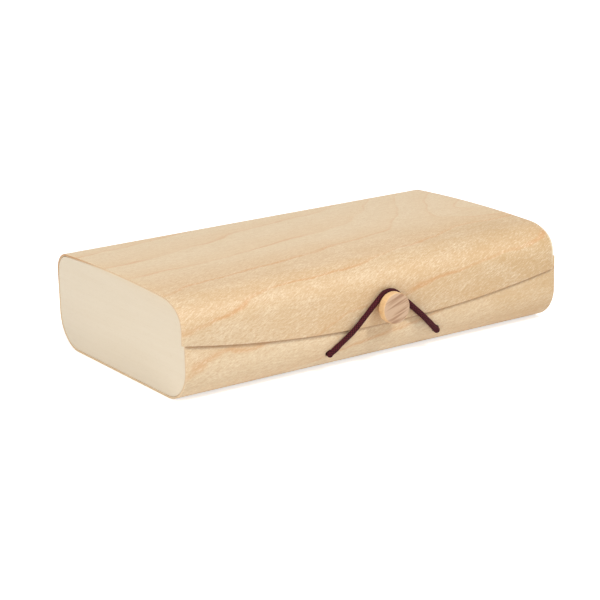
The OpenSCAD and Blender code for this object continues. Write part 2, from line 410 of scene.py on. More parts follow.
def thicken(piece):
    """Turns the outer face of the sheet into a sheet."""
    face_outwards(piece)
    apply_modifier(piece, "SOLIDIFY", thickness=sheet_thickness, offset=-1, use_even_offset=True)
    print(piece.name, "is now", round(sheet_thickness / mm, 1), "mm thick")


# %% [markdown]
# A cut edge of the sheet has two rims, one on its outer face and one on its inner. Both are sanded,
# but the short edges between them aren't, because a bevel there would cut across the veneer. An
# edge whose two ends lie at the same depth runs along a rim. No place comes out exact to the last
# digit, so each is compared within a small margin.

# %% Tell a rim from the short edges across it
sanded = 0.12 * mm
near = 0.02 * mm
along_rim = 0.3


def both_near(a, b, place):
    """Whether two coordinates both lie almost at a place."""
    return abs(a - place) < near and abs(b - place) < near


def same_face(a, b):
    """Two ends of an edge that lie on the same face of the sheet, be it the outer or the inner."""
    depth_a = on_blank(a.y, a.z)[1]
    depth_b = on_blank(b.y, b.z)[1]
    return abs(depth_a - depth_b) < along_rim * sheet_thickness


print("Sanded rims are", round(sanded / mm, 2), "mm wide")

# %% [markdown]
# ## The walls
#
# Front wall, floor and back wall are one stretch of the blank. Two holes go through its lower front
# corner for the elastic cord, square to the curved face. A maker drills them before bending. Here
# they are drilled afterwards, because then they stay round and keep their place on the corner.

# %% Places of the cord holes
cord_radius = 1.4 * mm
cord_clearance = 0.3 * mm
hole_spread = 58.5 * mm
hole_dip = math.radians(27)
elbow_out = 0.9 * mm
hole_out = Vector((0, -math.cos(hole_dip), -math.sin(hole_dip)))
corner_centre = Vector((0, lower_radius - wall_y, lower_radius))
sides = (-1, 1)


def mouth(side):
    """Where a cord hole comes out of the lower front corner."""
    along_box = Vector((closure_x + side * hole_spread / 2, 0, 0))
    return corner_centre + lower_radius * hole_out + along_box


def turn_point(side):
    """Where the cord turns up, as it comes out of its hole."""
    return mouth(side) + elbow_out * hole_out


print("Mouths:", [tuple(round(n / mm, 2) for n in mouth(side)) for side in sides])

# %% [markdown]
# A hole can be made by hand, by deleting faces and bridging the two rims. A cutter that a boolean
# takes away does the same in one step, also across the many faces of a bend.

# %% Drill with a cutter
hole_sides = 48


def cut_with(piece, cutter):
    """Takes a cutter away from a piece, and removes the cutter."""
    apply_modifier(piece, "BOOLEAN", operation="DIFFERENCE", object=cutter, solver="EXACT")
    bpy.data.objects.remove(cutter)


def drill(piece, at, direction, radius, depth):
    """Cuts a round hole, centred on a place and along a direction."""
    deselect_all()
    bpy.ops.mesh.primitive_cylinder_add(
        vertices=hole_sides, radius=radius, depth=depth, location=at,
        rotation=direction.to_track_quat("Z", "Y").to_euler())
    cut_with(piece, bpy.context.active_object)


# %% [markdown]
# The walls are drawn out, thickened, sanded along both ends and along the top of the front wall,
# and then drilled. Where they meet the hinge the real sheet goes on, so that seam isn't sanded.

# %% Make the walls
hole_radius = cord_radius + cord_clearance
drill_depth = 6 * sheet_thickness


def walls_rim(a, b):
    """An edge along either end of the walls, or along the top of the front wall."""
    at_end = both_near(abs(a.x), abs(b.x), half_length)
    at_top = both_near(a.z, b.z, front_wall_top) and a.y < 0 and b.y < 0
    at_seam = both_near(a.z, b.z, hinge_z)
    return (at_end or at_top) and not at_seam and same_face(a, b)


sheet_walls = draw_out("sheet_walls", walls, -half_length, half_length)
thicken(sheet_walls)
print("Walls:", soften(sheet_walls, walls_rim, sanded), "edges sanded")
for side in sides:
    drill(sheet_walls, mouth(side), hole_out, hole_radius, drill_depth)
print("Walls with their holes:", len(sheet_walls.data.polygons), "faces")

# %% [markdown]
# A hole that was drilled for a cord is eased, or it would cut the cord. Its two rims could be
# chosen by the numbers of their edges, but these change with every edit before them. They are found
# by their distance from the hole's axis, which doesn't.

# %% Ease the holes
eased_by = 0.2 * mm
on_one_rim = 0.4 * sheet_thickness


def around_hole(a, b):
    """An edge on the rim of a cord hole, not one that runs through it."""
    for side in sides:
        offsets = [point - mouth(side) for point in (a, b)]
        heights = [offset.dot(hole_out) for offset in offsets]
        reaches = [(offset - height * hole_out).length for offset, height in zip(offsets, heights)]
        if all(abs(reach - hole_radius) < near for reach in reaches):
            return abs(heights[0] - heights[1]) < on_one_rim
    return False


print("Cord holes:", soften(sheet_walls, around_hole, eased_by, segments=3), "edges eased")
settle(sheet_walls)
unroll(sheet_walls)

# %% [markdown]
# ## The hinge and the lid
#
# The back bend is the hinge. It has no pin and no leaf: the sheet itself flexes. It could be one
# piece that bends as a whole, but the model opens in two folds: there the lower half turns against
# the wall, and the lid turns against the lower half. So it is drawn in two halves. The upper half
# is drawn together with the crown, the nose and the flap.

# %% Lower half of the hinge
end_zone = 6 * mm
end_step = 0.5 * mm


def end_rim(a, b):
    """An edge that runs round the bend near the left or right end of the hinge."""
    reach = half_length - end_zone
    at_end = abs(a.x) > reach and abs(b.x) > reach
    return at_end and abs(a.x - b.x) < end_step and same_face(a, b)


hinge_lower = draw_out("hinge_lower", lower_hinge, -half_length, half_length)
thicken(hinge_lower)
print("Hinge:", soften(hinge_lower, end_rim, sanded), "edges sanded")
settle(hinge_lower)
unroll(hinge_lower)

# %% [markdown]
# The flap's lower edge is a shallow arc, lowest at the closure, and the whole lid leans a little to
# the left at its front, as hand-made boxes do. The arc could be cut with a boolean, but that leaves
# ragged faces along it. So the lid is drawn as a plain rectangle first. Then the last row of points
# moves up onto the arc, every point moves left by its share of the lean, and the two corners are
# rounded with a vertex bevel.

# %% Shape the flap and skew the lid
flap_middle_z = lid_low.z
flap_arc_radius = ((half_length ** 2) + flap_rise ** 2) / (2 * flap_rise)
corner_steps = 8


def flap_edge(x):
    """Height of the flap's lower edge at a place along the box."""
    across = x - closure_x
    return flap_middle_z + flap_arc_radius - math.sqrt(flap_arc_radius ** 2 - across ** 2)


def skew_at(y):
    """How far the lid lies to the left of the box at a depth."""
    return flap_skew * (lid_at[0] - y) / (lid_at[0] - flap_y)


def off_end(x, skew):
    """How far a place along the box is from the nearer end of a lid that lies this far left."""
    return min(abs(x + half_length + skew), abs(x - half_length + skew))


def flap_corner_point(co):
    """One of the two points where the flap's lower edge meets its ends."""
    return (off_end(co.x, flap_skew) < near and co.y < flap_y + near
            and co.z < nose_end[1] - near)


def lid_piece():
    """Upper half of the hinge, crowned top, soft nose and flap."""
    piece = draw_out("sheet_lid", upper_hinge + nose + flap, -half_length, half_length,
                     rows_of_flat=1)
    for point in piece.data.vertices:
        if point.co.y < lid_at[0]:
            point.co.x -= skew_at(point.co.y)
        if abs(point.co.z - flap_middle_z) < near:
            point.co.z = flap_edge(point.co.x)
    edit(piece)
    corners = select_points(piece, flap_corner_point)
    bpy.ops.mesh.select_mode(type="VERT")
    lean = math.asin(half_length / flap_arc_radius)
    bpy.ops.mesh.bevel(offset=flap_corner * math.tan((quarter - lean) / 2),
                       segments=corner_steps, affect="VERTICES", clamp_overlap=False)
    leave()
    thicken(piece)
    print("Lid:", corners, "corners rounded,", len(piece.data.polygons), "faces")
    return piece


sheet_lid = lid_piece()

# %% [markdown]
# The lid's rim is sanded like that of the walls. It runs along both leaning ends, and along the
# flap's arc with its rounded corners. It could be chosen as all edges with a sharp angle, but some
# rims of the rounded corners aren't sharp. So it is found by its place. The line where the flap
# meets the nose is no edge of the real sheet, so it is left out.

# %% Sand the lid's rim
corner_zone = 1.2


def at_lid_end(point):
    """Whether a point lies on the left or right end of the lid."""
    skew = 0 if point.y >= lid_at[0] else skew_at(point.y)
    return off_end(point.x, skew) < near


def on_flap_edge(point):
    """Whether a point lies on the flap's lower edge or on one of its corners."""
    in_corner = off_end(point.x, flap_skew) < flap_corner * corner_zone
    highest = flap_edge(point.x) + (flap_corner if in_corner else near)
    return point.y < flap_y + 2 * sheet_thickness and point.z < highest


def lid_rim(a, b):
    """An edge along the end of the lid, or along the flap's lower edge, outer or inner."""
    on_rim = (at_lid_end(a) and at_lid_end(b)) or (on_flap_edge(a) and on_flap_edge(b))
    under_nose = both_near(a.z, b.z, nose_end[1])
    return on_rim and not under_nose and same_face(a, b)


print("Lid:", soften(sheet_lid, lid_rim, sanded), "edges sanded")

# %% [markdown]
# Screw, button and the countersunk hole for the screw are all round on one axis. They could be cut
# and joined from cones and cylinders, but a lathe's way is simpler: a circle at one end, drawn out
# ring by ring to a list of distances and radii. One list is then the whole shape.

# %% Turn a shape from its rings
towards_front = Vector((0, -1, 0))


def turned(name, rings, start_y, sides_round=64):
    """A solid of revolution on the button's axis. Each ring is a distance forwards and a radius."""
    out, radius = rings[0]
    deselect_all()
    bpy.ops.mesh.primitive_circle_add(
        vertices=sides_round, radius=radius, fill_type="NGON",
        location=(closure_x, start_y - out, button_z),
        rotation=towards_front.to_track_quat("Z", "Y").to_euler())
    piece = bpy.context.active_object
    piece.name = name
    work_on(piece)
    bpy.ops.object.transform_apply(location=True, rotation=True, scale=True)
    edit(piece)
    bpy.ops.mesh.select_all(action="SELECT")
    for next_out, next_radius in rings[1:]:
        extrude_by((out - next_out, 0))
        bpy.ops.transform.resize(
            value=(next_radius / radius, 1, next_radius / radius),
            center_override=(closure_x, start_y - next_out, button_z))
        out, radius = next_out, next_radius
    bpy.ops.mesh.select_all(action="SELECT")
    bpy.ops.mesh.normals_make_consistent(inside=False)
    leave()
    return piece


# %% [markdown]
# The screw goes through the flap from inside, and its head sits level with the inner face, because
# the flap lies almost on the front wall. So the hole is countersunk: a cone for the head, then a
# straight hole for the shank. The boolean leaves a few faces thinner than a hair where the cone
# meets the sheet. They would spoil the mesh, so points that almost touch are merged.

# %% Countersink the flap
screw_head = 1.8 * mm
screw_shank = 1 * mm
screw_rim = 0.1 * mm
screw_length = 5 * mm
screw_fit = 0.05 * mm
cone_end = sheet_thickness - 0.2 * mm
screw_foot = flap_y + sheet_thickness
sliver = 2e-6

screw_hole = turned("screw_hole", [
    (-0.2 * mm, screw_head + screw_fit), (screw_rim, screw_head + screw_fit),
    (cone_end, screw_shank + screw_fit), (2 * sheet_thickness, screw_shank + screw_fit)],
    screw_foot)
cut_with(sheet_lid, screw_hole)
edit(sheet_lid)
bpy.ops.mesh.select_all(action="SELECT")
bpy.ops.mesh.remove_doubles(threshold=sliver)
bpy.ops.mesh.dissolve_degenerate(threshold=sliver)
leave()
settle(sheet_lid)
unroll(sheet_lid)
print("Lid with its countersunk hole:", len(sheet_lid.data.polygons), "faces")

# %% [markdown]
# ## The end panels
#
# Each end panel is a board with the outline of the sheet's inside. It is glued to the walls and the
# floor, and it stays a little clear of the lid, which has to lift off it. The outline could be read
# off the finished sheet, but its inner face has no gap for glue. So it is the same walk again, set
# in from the outer face by the sheet and the gap.

# %% Outline of an end panel
inset = sheet_thickness + glue
under_lid = sheet_thickness + lid_gap
panel_front = inset - wall_y


def set_in(placed, depth):
    """The same stretches, set in from the outer face of the sheet."""
    result = []
    for stretch in placed:
        inwards = heading(stretch["angle"] + math.pi / 2)
        result.append(dict(stretch, at=stretch["at"] + depth * inwards,
                           radius=stretch["radius"] - depth))
    return result


front_foot = walls[0]["at"] + walls[0]["flat"] * heading(-quarter)
low_outline = set_in([dict(walls[0], at=front_foot, flat=0)] + walls[1:], inset)
hinge_outline = set_in(walk([(0, hinge_radius, hinge_turn)], hinge_at, quarter)[0], under_lid)
lid_under_y = lid_at[0] - under_lid * math.sin(rise_at_hinge)
panel_crown = (lid_under_y - nose_reach(under_lid) - panel_front) / crown_share
top_outline = set_in(walk([(0, panel_crown + under_lid, crown), *nose_profile[1:]],
                          lid_at, lid_angle)[0], under_lid)
outline = low_outline + hinge_outline + top_outline
print("End panel: crown radius", round(panel_crown / mm), "mm,", len(outline), "stretches")

# %% [markdown]
# A board could be cut from a block with a boolean. But its outline is known, so it is drawn out
# through the board's thickness, as the sheet was along the box. That gives a band that is open at
# the front. A bridge closes it, and each end is then filled with one face.

# %% Make the end panels
panel_edge = 0.3 * mm


def panel_piece(name, left, right):
    """A board between two places along the box."""
    piece = draw_out(name, outline, left, right, across=1)
    first_z = outline[0]["at"][1]
    last_z = min(point.co.z for point in piece.data.vertices
                 if abs(point.co.y - panel_front) < near and point.co.z > first_z + near)

    def open_edge(a, b):
        at_gap = both_near(a.z, b.z, first_z) or both_near(a.z, b.z, last_z)
        return at_gap and a.y < panel_front + near and b.y < panel_front + near

    def end_edge(a, b):
        return any(both_near(a.x, b.x, place) for place in (left, right))

    edit(piece)
    select_edges(piece, open_edge)
    bpy.ops.mesh.bridge_edge_loops()
    for place in (left, right):
        select_edges(piece, lambda a, b, place=place: both_near(a.x, b.x, place))
        bpy.ops.mesh.edge_face_add()
    bpy.ops.mesh.select_all(action="SELECT")
    bpy.ops.mesh.normals_make_consistent(inside=False)
    leave()
    print(name, soften(piece, end_edge, panel_edge), "edges softened,",
          len(piece.data.polygons), "faces")
    settle(piece)
    return piece


left_panel = panel_piece("left_panel", panel_low.x, panel_high.x)
right_panel = panel_piece("right_panel", -panel_high.x, -panel_low.x)

# %% [markdown]
# ## The button and its screw
#
# The button is turned from one piece of darker wood, with a neck for the cord to lie round and a
# flat head. Its face is very slightly domed, and both rims are rounded, as sandpaper leaves them on
# the lathe. A modifier could round the rims, but rings of the lathe's list give them the exact
# radius. The list starts at the bottom of the pilot hole, so the hole is part of the same shape.

# %% Turn the button
neck_radius = 4.9 * mm
neck_length = cord_radius * 2 + 2 * cord_clearance
head_radius = (button_high.x - button_low.x) / 2
button_length = flap_y - button_low.y
worn = 0.5 * mm
dome = 0.15 * mm
rim_steps = 5


def worn_rim(at, radius, from_angle, to_angle):
    """Rings of a rounded rim, with its centre this far forwards and this far from the axis."""
    angles = [from_angle + (to_angle - from_angle) * k / rim_steps for k in range(rim_steps + 1)]
    return [(at + worn * math.sin(a), radius + worn * math.cos(a)) for a in angles]


pilot_depth = screw_length + 2 * screw_fit
face_shares = (0.9, 0.75, 0.55, 0.35, 0.15, 0.02)
face_rings = [(button_length - dome * share ** 2, (head_radius - worn) * share)
              for share in face_shares]
rim_front = button_length - dome - worn
button_rings = [
    (pilot_depth, 0.1 * mm), (pilot_depth - 0.3 * mm, screw_shank + screw_fit),
    (0, screw_shank + screw_fit), (0, neck_radius), (neck_length * 0.5, neck_radius - 0.05 * mm),
    (neck_length - 0.25 * mm, neck_radius), (neck_length - 0.05 * mm, neck_radius + 0.2 * mm),
    (neck_length, neck_radius + 0.5 * mm),
    *worn_rim(neck_length + worn, head_radius - worn, -quarter, 0),
    *worn_rim(rim_front, head_radius - worn, 0, quarter), *face_rings]
button = turned("turned_button", button_rings, flap_y)
settle(button, smooth_angle=40)
print("Button:", round(2 * head_radius / mm, 2), "mm across,", len(button.data.polygons), "faces")

# %% [markdown]
# A small countersunk wood screw has a cross recess, a pointed tip, and a thread that stays inside
# the wood. A real thread winds. Here it is a row of rings, because only the head ever shows, when
# the lid is open. The recess is cut with two thin blocks that cross.

# %% Make the screw
thread_depth = 0.25 * mm
thread_pitch = 0.8 * mm
recess_width = 0.45 * mm
recess_reach = 2 * mm
recess_depth = 0.45 * mm

thread_rings = []
thread_at = sheet_thickness + 0.4 * mm
while thread_at < screw_length - thread_pitch:
    thread_rings.append((thread_at, screw_shank - thread_depth))
    thread_rings.append((thread_at + thread_pitch / 2, screw_shank))
    thread_at += thread_pitch
screw = turned("countersunk_screw", [
    (0.02 * mm, screw_head - 0.08 * mm), (0.08 * mm, screw_head), (screw_rim, screw_head),
    (cone_end, screw_shank), (sheet_thickness, screw_shank), *thread_rings,
    (screw_length, screw_shank * 0.6), (screw_length + sheet_thickness, screw_shank * 0.1)],
    screw_foot, sides_round=48)
for turn in (quarter / 2, 3 * quarter / 2):
    deselect_all()
    bpy.ops.mesh.primitive_cube_add(
        size=1, location=(closure_x, screw_foot, button_z), rotation=(0, turn, 0),
        scale=(recess_reach, 2 * recess_depth, recess_width))
    cut_with(screw, bpy.context.active_object)
settle(screw)
print("Screw:", len(screw.data.polygons), "faces,", len(thread_rings) // 2, "turns of thread")

# %% [markdown]
# ## The elastic cord
#
# One length of round elastic goes out of the left hole, up over the button's neck and back into
# the right hole. The stretch outside the box swings on its own, so it is one piece from elbow to
# elbow. What is inside, the stub in the hole and its knot, stays with the box. Both meet at the
# elbow in round ends, which look right at any angle.
#
# A Skin modifier on a row of edges makes a cord too, but it pinches at tight bends. A curve with a
# round bevel keeps its thickness, so it is the usual way. It is then turned into a mesh. Its radius
# varies a little, because elastic that is pulled round a corner flattens and bulges.

# %% Draw a cord through points
cap_angles = [math.radians(degrees) for degrees in (8, 30, 52, 72)]


def smooth_points(points, steps):
    """Points on a smooth curve that passes through the given ones."""
    points = [Vector(point) for point in points]
    padded = [2 * points[0] - points[1]] + points + [2 * points[-1] - points[-2]]
    result = []
    for before, a, b, after in zip(padded, padded[1:], padded[2:], padded[3:]):
        for k in range(steps):
            t = k / steps
            result.append(0.5 * (2 * a + (b - before) * t
                                 + (2 * before - 5 * a + 4 * b - after) * t ** 2
                                 + (3 * a - before - 3 * b + after) * t ** 3))
    return result + [points[-1]]


def cord_piece(name, points, swell, sides_round=20):
    """A round cord along points, with its radius scaled by swell(distance, whole length)."""
    path = [Vector(point) for point in points]
    steps = [(b - a).length for a, b in zip(path, path[1:])]
    length = sum(steps)
    way_in = (path[0] - path[1]).normalized()
    way_out = (path[-1] - path[-2]).normalized()
    first = [(path[0] + way_in * cord_radius * math.cos(a), 0, math.sin(a)) for a in cap_angles]
    last = [(path[-1] + way_out * cord_radius * math.cos(a), length, math.sin(a))
            for a in reversed(cap_angles)]
    run = np.concatenate(([0], np.cumsum(steps)))
    rings = first + [(point, at, 1) for point, at in zip(path, run)] + last
    curve = bpy.data.curves.new(name, "CURVE")
    curve.dimensions = "3D"
    curve.bevel_depth = cord_radius
    curve.bevel_resolution = sides_round // 4
    curve.use_fill_caps = True
    line = curve.splines.new("POLY")
    line.points.add(len(rings) - 1)
    for knot, (place, at, share) in zip(line.points, rings):
        knot.co = (*place, 1)
        knot.radius = share * swell(at, length)
    piece = bpy.data.objects.new(name, curve)
    bpy.context.scene.collection.objects.link(piece)
    work_on(piece)
    bpy.ops.object.convert(target="MESH")
    piece = bpy.context.active_object
    settle(piece, smooth_angle=60)
    piece.data.name = name
    print(name, "is", round(length / mm, 1), "mm long,", len(piece.data.polygons), "faces")
    return piece


# %% [markdown]
# Seen from the front, each leg of the loop is a straight line that just touches a circle round the
# neck. The angle at which it touches follows from the leg's foot and that circle's radius. Seen
# from the side, the taut cord goes straight too, except that it has to clear the flap's edge: it
# runs up from its hole to that edge, bends a little there, and lies along the flap from then on. A
# cloth or rope simulation could find this route, but a taut cord's route is plain geometry and
# exact.

# %% Route of the loop
cord_y = flap_y - cord_clearance - cord_radius
loop_radius = neck_radius + cord_clearance + cord_radius
leg_x = hole_spread / 2
leg_drop = button_z - turn_point(1).z
touch = (math.acos(loop_radius / math.hypot(leg_x, leg_drop)) - math.atan2(leg_drop, leg_x))
meet_x = loop_radius * math.cos(touch)
meet_z = button_z + loop_radius * math.sin(touch)
edge_y = flap_y - cord_radius - 0.05 * mm
edge_z = flap_middle_z + 0.2 * mm
leg_steps = 26
neck_steps = 24
press = 0.2 * mm


def leg_y(z):
    """How far forwards the cord's middle is at a height on its leg."""
    foot = turn_point(1)
    below = foot.y + (edge_y - foot.y) * (z - foot.z) / (edge_z - foot.z)
    above = edge_y + (cord_y - edge_y) * (z - edge_z) / (meet_z - edge_z)
    middle = (below + above) / 2
    return middle + math.hypot((below - above) / 2, press)


def loop_route():
    """Points from the right elbow, round the neck, to the left elbow."""
    leg = []
    for k in range(leg_steps):
        share = k / leg_steps
        x = leg_x + (meet_x - leg_x) * share
        z = turn_point(1).z + (meet_z - turn_point(1).z) * share
        leg.append((x, leg_y(z) if k else turn_point(1).y, z))
    arc = []
    for k in range(neck_steps + 1):
        angle = touch + (math.pi - 2 * touch) * k / neck_steps
        arc.append((loop_radius * math.cos(angle), cord_y,
                    button_z + loop_radius * math.sin(angle)))
    back = [(-x, y, z) for x, y, z in reversed(leg)]
    return [Vector((x + closure_x, y, z)) for x, y, z in leg + arc + back]


def loop_swell(at, length):
    """Thinner where it is stretched, from the neck to the left hole, and bulging at both holes."""
    share = min(max((at / length - 0.35) / 0.2, 0), 1)
    stretched = 0.98 - 0.11 * share
    uneven = 0.018 * math.sin(at / (3.1 * mm)) + 0.012 * math.sin(at / (1.3 * mm) + 1)
    right_flare = 0.08 * math.exp(-at / (1.5 * mm))
    left_bulge = 0.14 * math.exp(-((length - at - 3.5 * mm) / (2 * mm)) ** 2)
    return stretched + uneven + right_flare + left_bulge


print("The legs touch the neck's circle at", round(math.degrees(touch), 1), "degrees")
elastic_loop = cord_piece("elastic_loop", loop_route(), loop_swell)

# %% [markdown]
# Inside the box each end of the cord has an overhand knot, which can't be pulled through its hole.
# A ball would hold the cord as well, but it isn't what one sees when the lid is open. An overhand
# knot is half of a closed trefoil, cut open at its outer lobe: from there one end goes out through
# the hole, and the other is the short tail that is left over.

# %% Tie the knots
knot_radius = 3.8 * mm
knot_centre_in = sheet_thickness + cord_clearance + knot_radius
knot_steps = 24
knot_height = 1.3
lobe_opening = math.radians(38)
tail_length = 7 * mm


def knot_route(side):
    """From the elbow through the hole, round the knot and out along its tail."""
    inwards = -hole_out
    to_middle = Vector((-side, 0, 0))
    across = inwards.cross(to_middle)
    centre = mouth(side) + knot_centre_in * inwards
    reach = (knot_radius - cord_radius) / 3
    turns = []
    for k in range(knot_steps + 1):
        angle = math.pi + lobe_opening + (2 * math.pi - 2 * lobe_opening) * k / knot_steps
        flat_x = math.sin(angle) + 2 * math.sin(2 * angle)
        flat_y = math.cos(angle) - 2 * math.cos(2 * angle)
        turns.append(centre + reach * (flat_x * across + flat_y * to_middle
                                       - knot_height * math.sin(3 * angle) * inwards))
    stub = [turn_point(side), mouth(side), mouth(side) + sheet_thickness * inwards]
    tail_end = centre + to_middle * (knot_radius + tail_length - cord_radius)
    tail = [centre + to_middle * (knot_radius + 0.2 * mm), tail_end]
    return smooth_points(stub + turns + tail, steps=4)


def knot_swell(at, length):
    """Pulled thinner where the knot is tight, and frayed at the tail."""
    frayed = math.exp(-(length - at) / (1.2 * mm))
    return 0.95 + 0.02 * math.sin(at / (1.7 * mm)) + 0.04 * frayed


knots = {side: cord_piece(name, knot_route(side), knot_swell, sides_round=16)
         for side, name in ((-1, "left_cord_knot"), (1, "right_cord_knot"))}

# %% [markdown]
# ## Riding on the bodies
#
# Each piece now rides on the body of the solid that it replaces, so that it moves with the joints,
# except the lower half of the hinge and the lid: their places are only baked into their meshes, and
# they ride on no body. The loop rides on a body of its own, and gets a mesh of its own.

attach(sheet_walls, "box")
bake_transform(hinge_lower)
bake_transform(sheet_lid)
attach(left_panel, "box")
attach(right_panel, "box")
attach(button, "lid")
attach(screw, "lid")
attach(elastic_loop, "loop")
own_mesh(elastic_loop)
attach(knots[-1], "box")
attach(knots[1], "box")

stands_for = [
    (sheet_walls, "sheet_wood", ["wrap_sheet"]),
    (hinge_lower, "sheet_wood", ["hinge_strip"]),
    (sheet_lid, "sheet_wood", ["lid_sheet", "hinge_strip"]),
    (left_panel, "panel_wood", ["left_end_panel"]),
    (right_panel, "panel_wood", ["right_end_panel"]),
    (button, "button_wood", ["button"]),
    (screw, "screw_steel", ["button_screw"]),
    (elastic_loop, "cord_elastic", ["elastic_cord"]),
    (knots[-1], "cord_elastic", ["left_knot"]),
    (knots[1], "cord_elastic", ["right_knot"])]
for piece, finish, nodes in stands_for:
    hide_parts(*nodes)
print(len(stands_for), "pieces, all solids replaced")

# %% [markdown]
# # Finishes
#
# Every finish is worked out from numbers, with no picture in it. Written node by node, a sum of
# three terms takes ten lines. It is easier to read as ordinary arithmetic, so a small class wraps a
# socket of a shader node. Adding two of them adds a Math node to the material, and so on.

# %% Arithmetic on shader sockets
class Value:
    """A number in a shader that ordinary arithmetic works on."""

    def __init__(self, tree, socket):
        self.tree = tree
        self.socket = socket

    def do(self, operation, other, swapped=False):
        """This value and another one through a Math node, in this order or swapped."""
        node = self.tree.nodes.new("ShaderNodeMath")
        node.operation = operation
        pair = (other, self) if swapped else (self, other)
        for socket, item in zip(node.inputs, pair):
            put(self.tree, socket, item)
        return Value(self.tree, node.outputs[0])

    def __add__(self, other):
        return self.do("ADD", other)

    def __radd__(self, other):
        return self.do("ADD", other, swapped=True)

    def __sub__(self, other):
        return self.do("SUBTRACT", other)

    def __rsub__(self, other):
        return self.do("SUBTRACT", other, swapped=True)

    def __mul__(self, other):
        return self.do("MULTIPLY", other)

    def __rmul__(self, other):
        return self.do("MULTIPLY", other, swapped=True)

    def __truediv__(self, other):
        return self.do("DIVIDE", other)

    def __rtruediv__(self, other):
        return self.do("DIVIDE", other, swapped=True)


def put(tree, socket, item):
    """Links a shader value to a socket, or writes a plain one into it."""
    if isinstance(item, Value):
        tree.links.new(item.socket, socket)
    else:
        socket.default_value = item


# %% [markdown]
# A finish is one material, or the light of the room. Its `node` method adds any other kind of node:
# first its settings, then what goes into its sockets. The other methods are the few steps that
# every finish here needs: a UV map or a place to start from, noise, a soft step, a mix of two
# colours, and the plugs into the shader.

# %% A finish
def linear(red, green, blue):
    """A colour as seen on screen, from 0 to 255, turned into the light that a shader works in."""
    def one(level):
        level = level / 255
        return level / 12.92 if level <= 0.04045 else ((level + 0.055) / 1.055) ** 2.4
    return (one(red), one(green), one(blue), 1)


class Finish:
    """The shader nodes of a material, or of the world, under construction."""

    def __init__(self, owner):
        owner.use_nodes = True
        self.owner = owner
        self.tree = owner.node_tree
        self.shader = self.tree.nodes[0]

    def node(self, kind, settings=None, sockets=None, output=0):
        """Adds a node and gives back one of its outputs."""
        node = self.tree.nodes.new(kind)
        for key, value in (settings or {}).items():
            setattr(node, key, value)
        for key, item in (sockets or {}).items():
            put(self.tree, node.inputs[key], item)
        return Value(self.tree, node.outputs[output])

    def uv(self, name):
        """Across and along a UV map."""
        place = self.node("ShaderNodeUVMap", {"uv_map": name})
        return tuple(self.node("ShaderNodeSeparateXYZ", None, {0: place}, k) for k in (0, 1))

    def place(self):
        """The three parts of a place on the object."""
        spot = self.node("ShaderNodeTexCoord", output="Object")
        return tuple(self.node("ShaderNodeSeparateXYZ", None, {0: spot}, k) for k in (0, 1, 2))

    def noise(self, x, y, z=0.0, detail=2.0, rough=0.5):
        """Smooth noise from 0 to 1, one blob for each step of one."""
        spot = self.node("ShaderNodeCombineXYZ", None, {0: x, 1: y, 2: z})
        return self.node("ShaderNodeTexNoise", {"noise_dimensions": "3D"},
                         {"Vector": spot, "Scale": 1.0, "Detail": detail, "Roughness": rough})

    def ramp(self, value, low, high):
        """Rises smoothly from 0 at low to 1 at high."""
        return self.node("ShaderNodeMapRange", {"interpolation_type": "SMOOTHSTEP"},
                         {"Value": value, "From Min": low, "From Max": high})

    def mix(self, share, first, second):
        """A colour between two others. The node's sockets for colours come after its others."""
        return self.node("ShaderNodeMix", {"data_type": "RGBA"}, {0: share, 6: first, 7: second}, 2)

    def finish(self, colour, rough, bump=None, bump_height=0.0):
        """Plugs colour, roughness and relief into the shader."""
        put(self.tree, self.shader.inputs["Base Color"], colour)
        put(self.tree, self.shader.inputs["Roughness"], rough)
        if bump is not None:
            relief = self.node("ShaderNodeBump", None,
                               {"Strength": 1.0, "Distance": bump_height, "Height": bump})
            put(self.tree, self.shader.inputs["Normal"], relief)
        return self.owner


def finish_named(name):
    """A new material, ready for its nodes."""
    return Finish(bpy.data.materials.new(name))


print("A mid grey, 128 on screen, is", round(linear(128, 128, 128)[0], 3), "in light")

# %% [markdown]
# ## Veneer
#
# The sheet is peeled or sliced wood. Its year rings run nearly along the box as soft orange lines,
# and wander and turn back on themselves in places. A Wave texture draws such lines too, but as
# regular as a ruler's. Here they are level lines of one slowly changing field over the flat blank:
# a slope, a hill at the heart of the figure, and noise. The blank's UV map is in metres, so every
# size here is real. Along the blank, v starts at the top of the front wall.

# %% Year rings
ring_spacing = 25 * mm
ring_slope = 0.2
ring_phase = 0.09
heart_height = 66 * mm
heart_reach = 110 * mm
wander_along = 60 * mm
wander_across = 30 * mm
ripple_along = 14 * mm
ripple_across = 9 * mm
lid_start_v = float(lid_distance)
nose_start_v = float(nose_distance) - 22 * mm


def ring_field(look, x, v):
    """Rises by one from each year ring to the next over the flat blank."""
    sloping = v + ring_slope * x
    to_right = look.ramp(x, 0.0, heart_reach)
    on_top = (1.0 - look.ramp(v, lid_start_v + 44 * mm, lid_start_v + 74 * mm)) * look.ramp(
        v, lid_start_v - 60 * mm, lid_start_v - 20 * mm)
    heart = heart_height * to_right * to_right * on_top
    wander = look.noise(x / wander_along, v / wander_across, 3.7, detail=1.0)
    ripple = look.noise(x / ripple_along, v / ripple_across, 8.2, detail=2.0)
    strayed = (sloping + heart) / ring_spacing + 0.9 * (wander - 0.5)
    return strayed + 0.16 * (ripple - 0.5) + ring_phase


print("About", round(float(flap_distance) / ring_spacing), "year rings cross the blank")

# %% [markdown]
# The flap's edge stands a little off the front wall along a shallow arc, and its shadow falls on
# the wall as a thin brown line, a little broader towards its left end. That shadow is painted into
# the wall's colour as a stripe in the material, so it stays when the lid is open. It follows the
# flap's arc, flattened to a parabola that shader arithmetic can work out.

# %% The flap's painted shadow
flap_shadow_width = 1.4 * mm
flap_shadow_wider = 0.2 * mm


